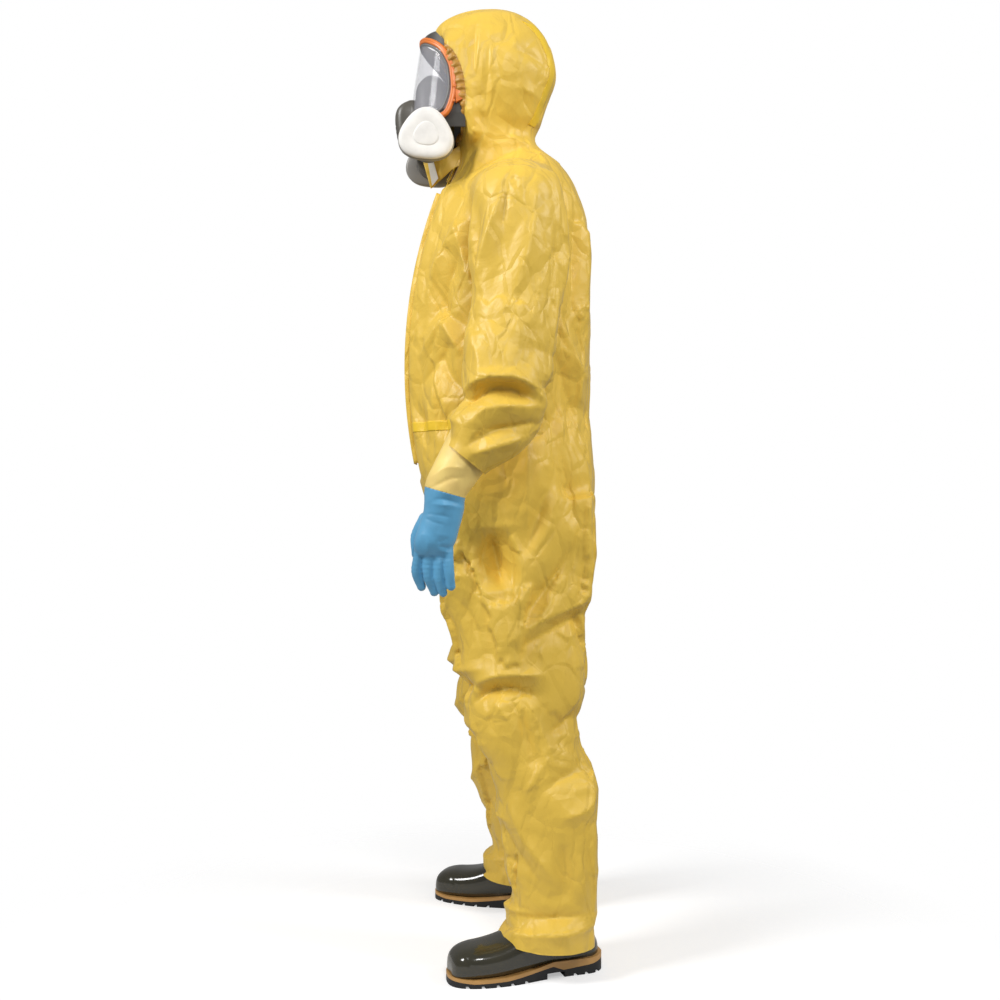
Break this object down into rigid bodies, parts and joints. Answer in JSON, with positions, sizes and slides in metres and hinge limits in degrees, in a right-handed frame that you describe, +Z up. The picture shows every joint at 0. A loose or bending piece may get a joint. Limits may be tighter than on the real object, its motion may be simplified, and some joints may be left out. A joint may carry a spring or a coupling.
{
  "type": "chemical protective suit",
  "caption": "Hooded chemical protective coverall in its worn shape, with full-face respirator, gauntlet gloves and rubber boots.",
  "frame": {"origin": "on the floor under the soles, at the middle of the suit's outline seen from above", "axes": "+Z up, the front of the suit faces -Y, its left side is +X"},
  "size_m": [0.7178, 0.4028, 1.85],
  "materials": {
    "coverall_fabric": "matte coated",
    "seam_tape": "satin film",
    "adhesive_strip": "smooth liner",
    "zip_tape": "woven",
    "zip_plastic": "moulded",
    "visor_clear": "clear polycarbonate",
    "frame_orange": "satin",
    "mask_grey": "fine grain",
    "mask_rubber": "matte",
    "cup_rubber": "matte",
    "filter_shell": "translucent white",
    "filter_pad": "felt",
    "strap": "elastic webbing",
    "glove_blue": "satin",
    "gauntlet_yellow": "matte",
    "boot_olive": "glossy",
    "boot_tan": "satin",
    "boot_black": "satin"
  },
  "bodies": {
    "suit_body": {"torso_back": "coverall_fabric", "torso_front_left": "coverall_fabric", "torso_front_right": "coverall_fabric", "shoulder_left": "coverall_fabric", "shoulder_right": "coverall_fabric", "seat_front": "coverall_fabric", "seat_back": "coverall_fabric", "waist_elastic": "seam_tape", "zip_tapes": "zip_tape", "zip_teeth": "zip_plastic", "storm_flap_base": "coverall_fabric"},
    "zip_slider": {"zip_slider": "zip_plastic"},
    "zip_pull": {"zip_pull": "zip_plastic"},
    "storm_flap_upper": {"storm_flap_upper": "coverall_fabric", "storm_flap_adhesive": "adhesive_strip"},
    "storm_flap_lower": {"storm_flap_lower": "coverall_fabric"},
    "hood": {"hood_centre": "coverall_fabric", "hood_left": "coverall_fabric", "hood_right": "coverall_fabric", "face_elastic": "coverall_fabric", "hood_seam_tapes": "seam_tape"},
    "chin_flap": {"chin_flap": "coverall_fabric", "chin_flap_adhesive": "adhesive_strip"},
    "mask": {"visor": "visor_clear", "visor_frame_upper": "frame_orange", "visor_frame_lower": "frame_orange", "face_seal": "mask_rubber", "mask_body": "mask_grey", "valve_cover": "mask_grey", "valve_seat": "mask_rubber", "nose_cup": "cup_rubber", "head_harness": "strap", "strap_buckles": "mask_grey"},
    "valve_disc": {"valve_disc": "mask_rubber"},
    "filter_left": {"filter_body_left": "filter_shell", "filter_pad_left": "filter_pad", "filter_retainer_left": "filter_shell"},
    "upper_arm_left": {"sleeve_upper_left": "coverall_fabric"},
    "forearm_left": {"sleeve_lower_left": "coverall_fabric", "cuff_elastic_left": "coverall_fabric"},
    "glove_left": {"glove_gauntlet_left": "gauntlet_yellow", "glove_hand_left": "glove_blue"},
    "thigh_left": {"leg_upper_left": "coverall_fabric"},
    "shin_left": {"leg_lower_left": "coverall_fabric"},
    "boot_left": {"boot_upper_left": "boot_olive", "boot_band_left": "boot_tan", "boot_outsole_left": "boot_black"},
    "filter_right": {"filter_body_right": "filter_shell", "filter_pad_right": "filter_pad", "filter_retainer_right": "filter_shell"},
    "upper_arm_right": {"sleeve_upper_right": "coverall_fabric"},
    "forearm_right": {"sleeve_lower_right": "coverall_fabric", "cuff_elastic_right": "coverall_fabric"},
    "glove_right": {"glove_gauntlet_right": "gauntlet_yellow", "glove_hand_right": "glove_blue"},
    "thigh_right": {"leg_upper_right": "coverall_fabric"},
    "shin_right": {"leg_lower_right": "coverall_fabric"},
    "boot_right": {"boot_upper_right": "boot_olive", "boot_band_right": "boot_tan", "boot_outsole_right": "boot_black"}
  },
  "joints": [
    {"name": "zip_run", "type": "hinge", "parent": "suit_body", "child": "zip_slider", "pos_m": [0, 0.786, 1.13], "axis": [1, 0, 0], "range_deg": [0, 35]},
    {"name": "zip_pull_lift", "type": "hinge", "parent": "zip_slider", "child": "zip_pull", "pos_m": [0, -0.08598, 1.53939], "axis": [-1, 0, 0], "range_deg": [0, 60]},
    {"name": "storm_flap_upper_open", "type": "hinge", "parent": "suit_body", "child": "storm_flap_upper", "pos_m": [0.038, -0.15831, 1.3442], "axis": [0, 0.2212, 0.9752], "range_deg": [0, 110]},
    {"name": "storm_flap_lower_open", "type": "hinge", "parent": "suit_body", "child": "storm_flap_lower", "pos_m": [0.038, -0.18069, 1.07426], "axis": [0, -0.0576, 0.9983], "range_deg": [0, 110]},
    {"name": "hood_turn", "type": "hinge", "parent": "suit_body", "child": "hood", "pos_m": [0, 0.018, 1.562], "axis": [0, 0, 1], "range_deg": [-25, 25]},
    {"name": "chin_flap_swing", "type": "hinge", "parent": "hood", "child": "chin_flap", "pos_m": [0.015, -0.086, 1.556], "axis": [0, 0, 1], "range_deg": [-40, 10]},
    {"name": "mask_pull_off", "type": "slide", "parent": "hood", "child": "mask", "axis": [0, -1, 0], "range_m": [0, 0.06], "stiffness_N_per_m": 300, "deforming": ["head_harness"]},
    {"name": "valve_lift", "type": "slide", "parent": "mask", "child": "valve_disc", "axis": [0, -1, 0], "range_m": [0, 0.0025], "stiffness_N_per_m": 20},
    {"name": "filter_left_twist", "type": "hinge", "parent": "mask", "child": "filter_left", "pos_m": [0.1, -0.135, 1.561], "axis": [1, 0, 0], "range_deg": [0, 40]},
    {"name": "shoulder_left", "type": "hinge", "parent": "suit_body", "child": "upper_arm_left", "pos_m": [0.24, 0.038, 1.405], "axis": [-1, 0, 0], "range_deg": [-30, 80]},
    {"name": "elbow_left", "type": "hinge", "parent": "upper_arm_left", "child": "forearm_left", "pos_m": [0.285, 0.01, 1.105], "axis": [-1, 0, 0], "range_deg": [-25, 75]},
    {"name": "glove_left_pull_off", "type": "slide", "parent": "forearm_left", "child": "glove_left", "axis": [0.1194, -0.4376, -0.8912], "range_m": [0, 0.12]},
    {"name": "hip_left", "type": "hinge", "parent": "suit_body", "child": "thigh_left", "pos_m": [0.102, 0.005, 0.9], "axis": [-1, 0, 0], "range_deg": [-10, 50]},
    {"name": "knee_left", "type": "hinge", "parent": "thigh_left", "child": "shin_left", "pos_m": [0.137, 0.07, 0.515], "axis": [1, 0, 0], "range_deg": [-5, 78]},
    {"name": "boot_left_pull_off", "type": "slide", "parent": "shin_left", "child": "boot_left", "axis": [0.1119, 0.1313, -0.985], "range_m": [0, 0.25]},
    {"name": "filter_right_twist", "type": "hinge", "parent": "mask", "child": "filter_right", "pos_m": [-0.1, -0.135, 1.561], "axis": [1, 0, 0], "range_deg": [-40, 0]},
    {"name": "shoulder_right", "type": "hinge", "parent": "suit_body", "child": "upper_arm_right", "pos_m": [-0.24, 0.038, 1.405], "axis": [-1, 0, 0], "range_deg": [-30, 80]},
    {"name": "elbow_right", "type": "hinge", "parent": "upper_arm_right", "child": "forearm_right", "pos_m": [-0.285, 0.01, 1.105], "axis": [-1, 0, 0], "range_deg": [-25, 75]},
    {"name": "glove_right_pull_off", "type": "slide", "parent": "forearm_right", "child": "glove_right", "axis": [-0.1194, -0.4376, -0.8912], "range_m": [0, 0.12]},
    {"name": "hip_right", "type": "hinge", "parent": "suit_body", "child": "thigh_right", "pos_m": [-0.102, 0.005, 0.9], "axis": [-1, 0, 0], "range_deg": [-10, 50]},
    {"name": "knee_right", "type": "hinge", "parent": "thigh_right", "child": "shin_right", "pos_m": [-0.137, 0.07, 0.515], "axis": [1, 0, 0], "range_deg": [-5, 78]},
    {"name": "boot_right_pull_off", "type": "slide", "parent": "shin_right", "child": "boot_right", "axis": [-0.1126, 0.0718, -0.9911], "range_m": [0, 0.25]}
  ],
  "couplings": [
    {"joint": "storm_flap_lower_open", "follows": "storm_flap_upper_open", "ratio": 1}
  ]
}
